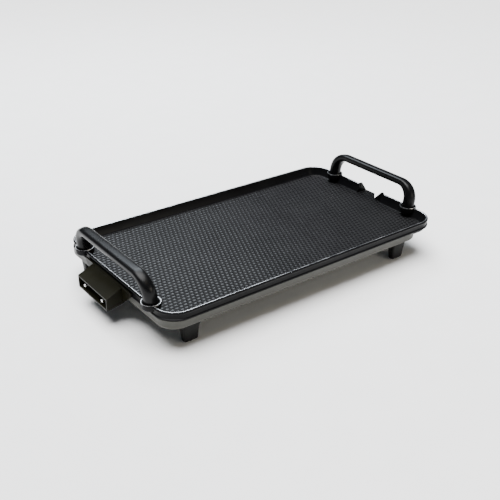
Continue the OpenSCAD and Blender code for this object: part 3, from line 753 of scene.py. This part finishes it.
def build_tub():
    centre = (TUB_LOW[0] + TUB_HIGH[0]) / 2
    half_x, half_y = (TUB_HIGH[0] - TUB_LOW[0]) / 2, (TUB_HIGH[1] - TUB_LOW[1]) / 2
    corner, sheet, top, floor_z, belly_z = 26.0, 1.2, SKIRT_Z, SKIRT_Z - 12, TUB_LOW[2]
    belly_half, belly_corner = (206.2, 100.2), 20
    belly_centre = TUB_LOW[0] + 13.8 + belly_half[0]
    bend = 3.2

    def edge_loop(inset, z):
        loop, _ = rounded_loop(centre, half_x - inset, half_y - inset, corner - inset, steps=12)
        return np.column_stack([loop, np.full(len(loop), z)])

    def belly_loop(inset, z):
        loop, _ = rounded_loop(belly_centre, belly_half[0] - inset, belly_half[1] - inset,
                               belly_corner - inset, steps=12)
        return np.column_stack([loop, np.full(len(loop), z)])

    def side(shell, lift):
        """Loops from the top edge to the belly, moved in by the sheet for the inner face."""
        loops = []
        for s, c in quarter_turn(6):
            loops.append(edge_loop(shell + (bend - shell) * (1 - c), floor_z + bend - (bend - lift) * s))
        for s, c in quarter_turn(5):
            loops.append(belly_loop(-2 + 2 * s + lift * s * 0.9, floor_z + lift - 2 * (1 - c)))
        for s, c in quarter_turn(5):
            loops.append(belly_loop(lift * 0.9 + 2 * (1 - c), belly_z + lift + 2 - 2 * s))
        return loops

    hem = 0.35
    rolled_edge = ((2.6, 0.0), (0.5, 0.0), (0.05, 0.3), (0.0, 0.9), (0.12, 1.4), (hem, 1.8))
    outer_top = [edge_loop(inset, top - drop) for inset, drop in rolled_edge]
    outer = outer_top + [edge_loop(hem, floor_z + bend + 1)] + side(hem, 0.0)
    inner = [edge_loop(2.6, top - sheet), edge_loop(hem + sheet, top - sheet)] + side(hem + sheet, sheet)
    loops = list(reversed(inner)) + outer
    tub = add_mesh("base_tub_pressing", *lofted(loops), smooth_angle=40)
    cut_low = (-HALF_LENGTH - 3 + SHIFT, SOCKET_Y - 36, 33.0)
    cut_high = (-225.0 + SHIFT, SOCKET_Y + 36, 60.0)
    spout_low = (TUB_HIGH[0] - 40, -half_y + 2.6, UNDER_Z - 0.6)
    spout_high = (TUB_HIGH[0] + 20, half_y - 2.6, 60.0)
    for low, high in ((cut_low, cut_high), (spout_low, spout_high)):
        outline = np.array([(low[0], low[1]), (high[0], low[1]), (high[0], high[1]), (low[0], high[1])])
        cutter = add_mesh("cutter", *prism(outline, 2, low[2], high[2]))
        cut = tub.modifiers.new("notch", "BOOLEAN")
        cut.operation = "DIFFERENCE"
        cut.solver = "EXACT"
        cut.object = cutter
        bpy.context.view_layer.update()
        shape = bpy.data.meshes.new_from_object(tub.evaluated_get(bpy.context.evaluated_depsgraph_get()))
        tub.modifiers.clear()
        tub.data = shape
        bpy.data.objects.remove(cutter)
    tub.data.set_sharp_from_angle(angle=math.radians(40))
    finish_piece(tub, "base", "grey_paint", "base_tub")


def build_foot(name, node):
    low, high = box_mm(node)
    x, y = (low[0] + high[0]) / 2, (low[1] + high[1]) / 2
    top_half = np.array([13.0, 8.0])
    low_half = np.array([10.3, 4.6])
    loops = []
    rounding = 2.2
    for z in np.concatenate([low[2] + rounding * (1 - np.cos(np.radians([0, 18, 36, 54, 72, 90]))),
                             np.linspace(low[2] + 8, high[2] - 0.4, 4), [high[2]]]):
        t = (z - low[2]) / (high[2] - low[2])
        half = low_half + (top_half - low_half) * t
        drop = max(0.0, rounding - (z - low[2]))
        pull = rounding - math.sqrt(max(rounding ** 2 - drop ** 2, 0.0))
        loop, _ = rounded_loop(x, half[0] - pull, half[1] - pull, max(2.4 - pull * 0.5, 0.6), steps=5)
        loop = loop + np.array([0.0, y])
        loops.append(np.column_stack([loop, np.full(len(loop), z)]))
    obj = add_mesh(name, *lofted(loops))
    finish_piece(obj, "base", "foot_plastic", node)


# ---- the other CAD nodes ----


def dress_cad_nodes():
    """Gives each CAD node that still shows the material of its slot."""
    slots = {s["node"]: s["material_slot"] for s in frame["record"]["subparts"]}
    for name, obj in frame["nodes"].items():
        if obj.hide_render:
            continue
        obj.data.materials.clear()
        obj.data.materials.append(MATERIALS[slots[name]])


# ---- stage ----


def add_camera():
    camera = bpy.data.cameras.new("camera")
    camera.sensor_width = 36.0
    camera.lens = 55.26
    obj = bpy.data.objects.new("camera", camera)
    bpy.context.scene.collection.objects.link(obj)
    azimuth, elevation, roll = math.radians(-37.93), math.radians(27.84), math.radians(1.08)
    back = Vector((math.sin(azimuth) * math.cos(elevation), -math.cos(azimuth) * math.cos(elevation),
                   math.sin(elevation)))
    target = Vector((-0.04895, -0.0548, 0.060))
    right = Vector((0, 0, 1)).cross(back).normalized()
    up = back.cross(right)
    right, up = right * math.cos(roll) + up * math.sin(roll), up * math.cos(roll) - right * math.sin(roll)
    turn = Matrix((right, up, back)).transposed().to_4x4()
    distance = 1.0689
    obj.matrix_world = Matrix.Translation(target + back * distance) @ turn
    camera.clip_start = 0.01
    camera.clip_end = 50.0
    bpy.context.scene.camera = obj


def add_light(name, kind, place, aim, power, color=(1.0, 1.0, 1.0), size=None, spread=None):
    """Studio light at a place, aimed at another; size is for an area light, spread (degrees) for a sun."""
    light = bpy.data.lights.new(name, kind)
    light.energy = power
    light.color = color
    if size is not None:
        light.shape = "RECTANGLE"
        light.size, light.size_y = size
    if spread is not None:
        light.angle = math.radians(spread)
    obj = bpy.data.objects.new(name, light)
    bpy.context.scene.collection.objects.link(obj)
    direction = Vector(aim) - Vector(place)
    turn = direction.to_track_quat("-Z", "Y").to_matrix().to_4x4()
    obj.matrix_world = Matrix.Translation(Vector(place)) @ turn


def polar(azimuth, elevation, distance):
    """Place at an angle from +X round Z, an elevation and a distance from the middle of the stage."""
    a, e = math.radians(azimuth), math.radians(elevation)
    x, y = distance * math.cos(a) * math.cos(e), distance * math.sin(a) * math.cos(e)
    return (x, y, distance * math.sin(e))


def add_stage():
    size = 6000.0
    floor = add_mesh("studio_floor", [(-size, -size, 0), (size, -size, 0), (size, size, 0), (-size, size, 0)],
                     [(0, 1, 2, 3)])
    floor.data.materials.append(material("studio_paper", (0.84, 0.84, 0.84), (0.86, 0.86, 0.86), (0.8, 0.9),
                                         grain=0.0, specular=0.0))
    world = bpy.data.worlds.new("studio")
    bpy.context.scene.world = world
    world.use_nodes = True
    world.node_tree.nodes["Background"].inputs["Color"].default_value = (0.80, 0.88, 1.0, 1.0)
    world.node_tree.nodes["Background"].inputs["Strength"].default_value = 0.12
    middle = (0.0, 0.0, 0.05)
    add_light("overhead", "SUN", polar(150, 83, 2.0), middle, 9.0, spread=50)
    add_light("sheen_box", "AREA", polar(74, 52, 1.9), middle, 34.0, (0.86, 0.93, 1.0), size=(1.1, 0.75))
    add_light("warm_card", "AREA", polar(-98, 56, 1.3), middle, 0.55, (1.0, 0.70, 0.36), size=(0.14, 0.14))
    add_light("side_fill", "AREA", polar(-72, 20, 2.0), middle, 9.0, (1.0, 0.94, 0.80), size=(0.9, 0.5))


add_camera()
build_casting()
build_painted_highlight_edge()
build_floor()
build_spout()
build_handle("handle_bar_socket_end", "handle_socket_end", -1)
build_handle("handle_bar_spout_end", "handle_spout_end", 1)
build_shroud()
build_pins()
build_tub()
for foot in ("foot_socket_front", "foot_socket_back", "foot_spout_front", "foot_spout_back"):
    build_foot(foot + "_leg", foot)
dress_cad_nodes()
add_stage()
